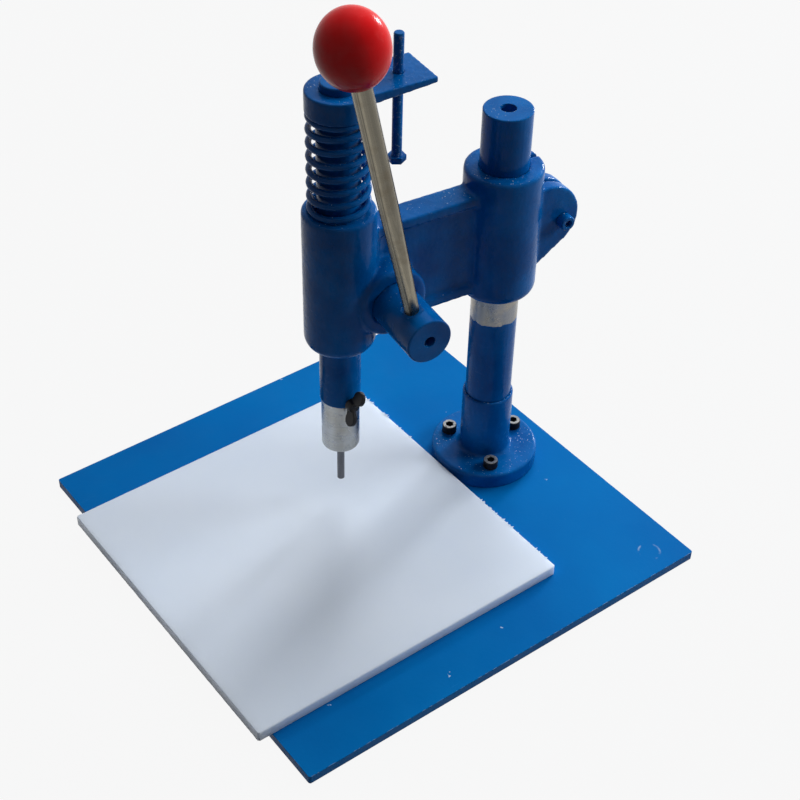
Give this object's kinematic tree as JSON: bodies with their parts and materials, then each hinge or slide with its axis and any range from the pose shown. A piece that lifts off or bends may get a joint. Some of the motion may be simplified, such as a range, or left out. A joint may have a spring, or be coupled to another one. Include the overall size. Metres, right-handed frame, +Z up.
{
  "type": "rivet punch press",
  "caption": "Column-type hand press for rivets and snaps: lever, rack-and-pinion ram with return spring and depth stop, on a clamped arm over a plastic board.",
  "frame": {"origin": "on the underside of the base plate, in the middle of the whole press seen from above", "axes": "+Z up along the column, +Y from the operator towards the column, +X to the side the lever is on; the arm is turned 7.4 degrees about the column from the Y axis"},
  "size_m": [0.4, 0.4164, 0.5209],
  "materials": {
    "blue_paint": "gloss, dark blue enamel over a lightly pebbled casting, worn to bright metal on edges",
    "blue_plate": "satin blue paint with faint scratches",
    "bare_steel": "turned, satin, slightly stained",
    "lever_steel": "zinc plated, half gloss",
    "black_oxide": "black oxide, heads worn bright on top",
    "blue_bolt": "blue paint over a threaded bolt",
    "spring_wire": "gloss blue-black paint on spring wire",
    "white_board": "milky white polyethylene, satin, cut marks",
    "red_knob": "deep red, polished",
    "brass_insert": "turned"
  },
  "bodies": {
    "base": {"base_plate": "blue_plate", "cutting_board": "white_board", "column_flange": "blue_paint", "flange_screws": "black_oxide"},
    "mast": {"column": "blue_paint"},
    "arm": {"arm_casting": "blue_paint", "return_spring": "spring_wire"},
    "clamp": {"clamp_screw": "blue_paint"},
    "lever": {"pinion_shaft": "blue_paint", "retaining_washer": "bare_steel", "retaining_bolt": "black_oxide", "lever_rod": "lever_steel", "ball_knob": "red_knob", "knob_insert": "brass_insert"},
    "ram": {"ram": "blue_paint", "spring_cap": "blue_paint", "cap_set_screw": "black_oxide", "punch": "bare_steel"},
    "stop": {"stop_bolt": "blue_bolt"},
    "wing": {"wing_screw": "black_oxide"}
  },
  "joints": [
    {"name": "arm_swivel", "type": "hinge", "parent": "base", "child": "mast", "pos_m": [-0.0025, 0.1395, 0.1], "axis": [0, 0, 1], "range_deg": [-60, 60]},
    {"name": "arm_height", "type": "slide", "parent": "mast", "child": "arm", "axis": [0, 0, 1], "range_m": [0, 0.04]},
    {"name": "lever_turn", "type": "hinge", "parent": "arm", "child": "lever", "pos_m": [-0.01757, 0.02347, 0.243], "axis": [0.9917, -0.1288, 0], "range_deg": [0, 85]},
    {"name": "ram_slide", "type": "slide", "parent": "arm", "child": "ram", "axis": [0, 0, 1], "range_m": [-0.0255, 0], "stiffness_N_per_m": 3000, "springref_m": 0.015, "deforming": ["return_spring"]},
    {"name": "stop_adjust", "type": "slide", "parent": "ram", "child": "stop", "axis": [0, 0, 1], "range_m": [-0.02, 0.03]},
    {"name": "wing_turn", "type": "hinge", "parent": "ram", "child": "wing", "pos_m": [-0.00173, -0.00984, 0.142], "axis": [0.9917, -0.1288, 0], "continuous": true},
    {"name": "clamp_turn", "type": "hinge", "parent": "arm", "child": "clamp", "pos_m": [0.02211, 0.18924, 0.2555], "axis": [0.9917, -0.1288, 0], "range_deg": [-180, 0]}
  ],
  "couplings": [
    {"joint": "ram_slide", "follows": "lever_turn", "m_per_rad": -0.017}
  ]
}
